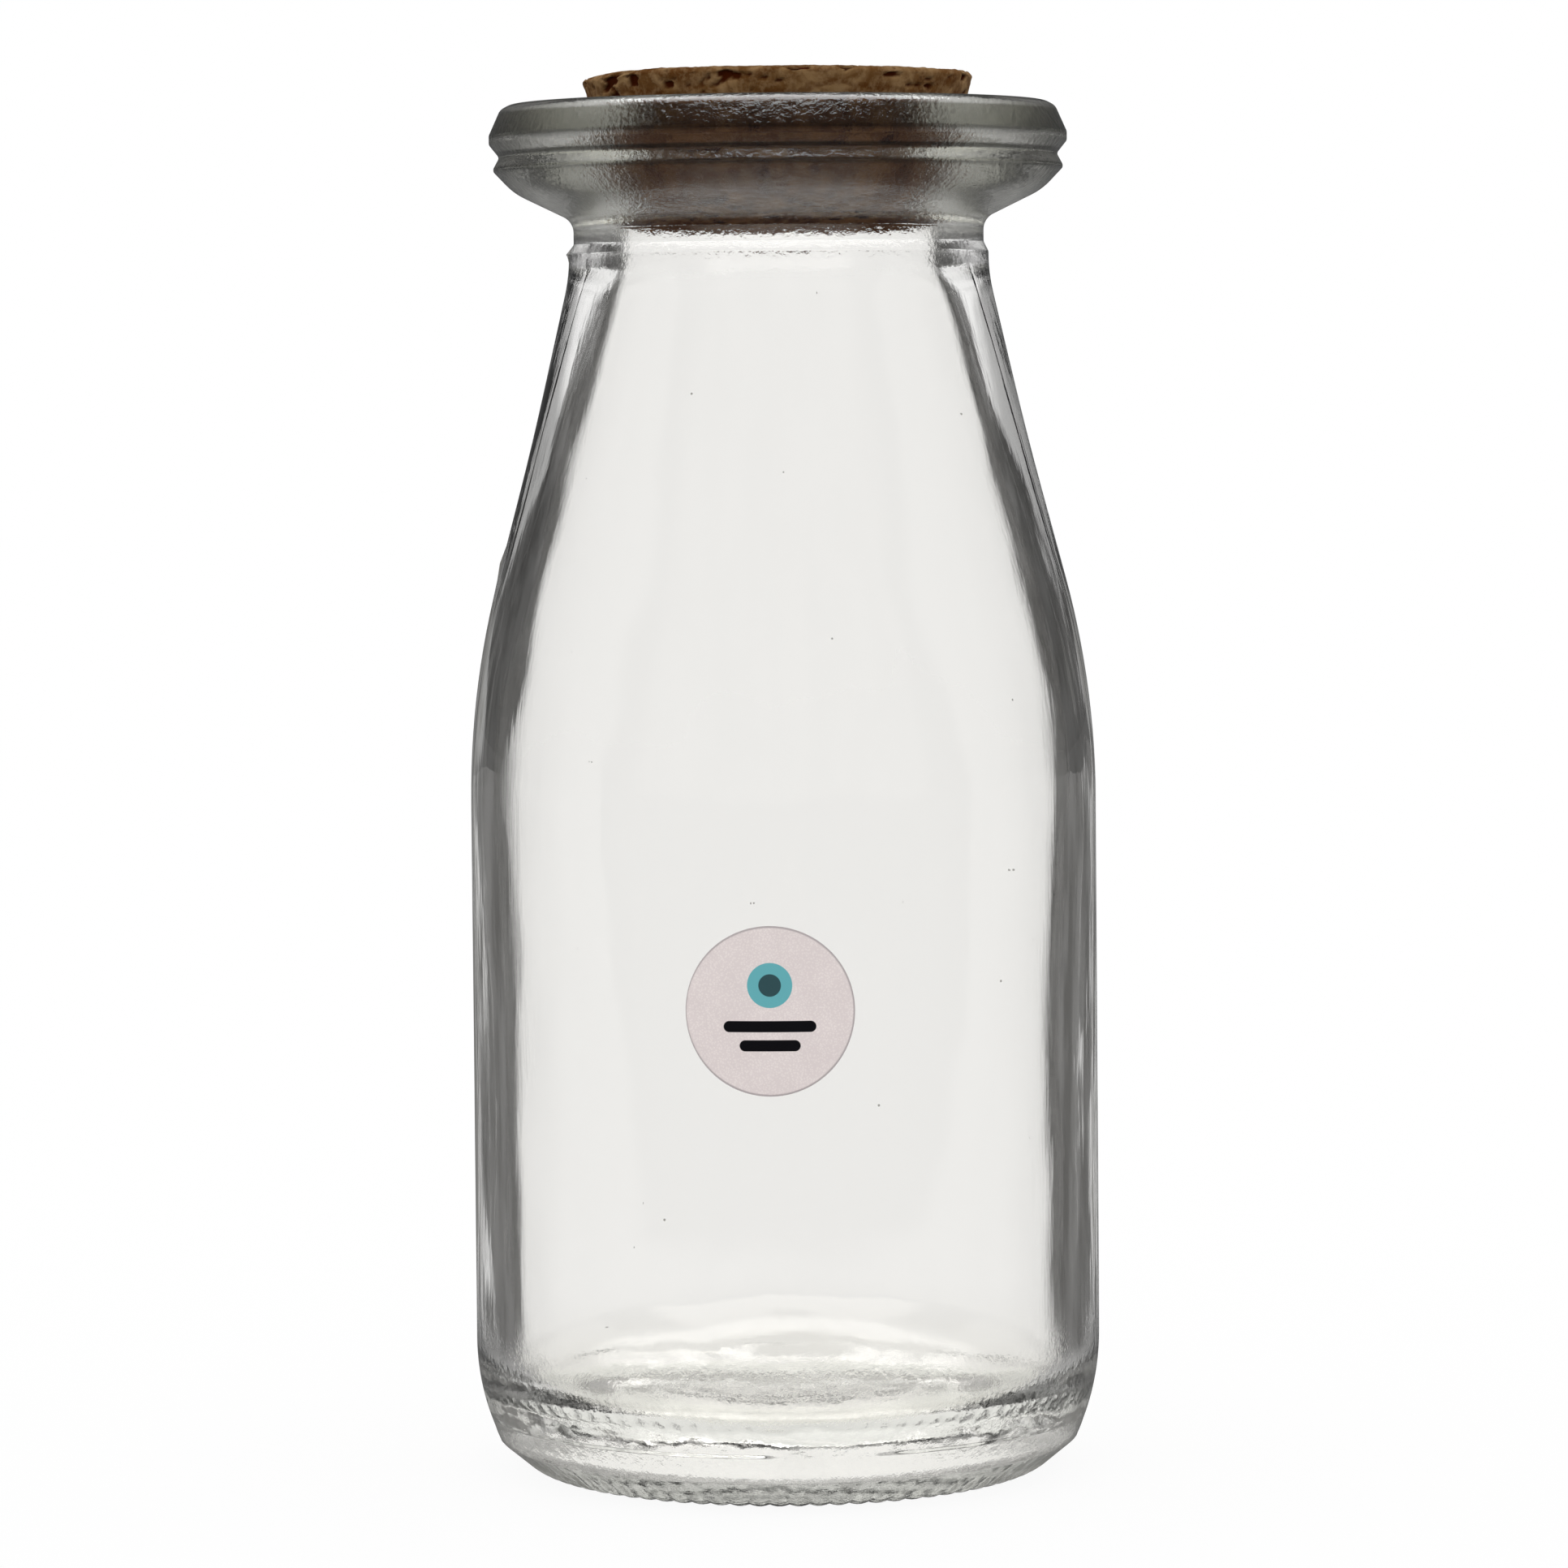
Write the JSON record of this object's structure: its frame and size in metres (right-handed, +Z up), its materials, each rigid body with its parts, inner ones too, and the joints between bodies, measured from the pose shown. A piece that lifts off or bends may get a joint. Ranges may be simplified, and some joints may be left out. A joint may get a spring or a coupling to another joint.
{
  "type": "glass milk bottle",
  "caption": "Small clear glass milk bottle with a heavy beaded finish, a tapered cork stopper that lifts out, and a round paper label on the straight wall.",
  "frame": {"origin": "on the standing plane, on the bottle's axis, under the middle of the base", "axes": "+Z up along the bottle's axis to the cork, -Y out through the label on the front, +X to the right seen from the front"},
  "size_m": [0.058, 0.0582, 0.1293],
  "materials": {
    "clear_glass": "clear pressed glass with a faint grey-green cast, polished by the mould and scuffed at the heel",
    "cork": "raw natural cork, brown, with dark cracks and pores and a crumbling edge",
    "label_paper": null
  },
  "bodies": {
    "bottle": {"glass_bottle": "clear_glass", "round_label": "label_paper"},
    "cork": {"cork_stopper": "cork"}
  },
  "joints": [
    {"name": "cork_lift", "type": "slide", "parent": "bottle", "child": "cork", "axis": [0, 0, 1], "range_m": [0, 0.03]}
  ]
}
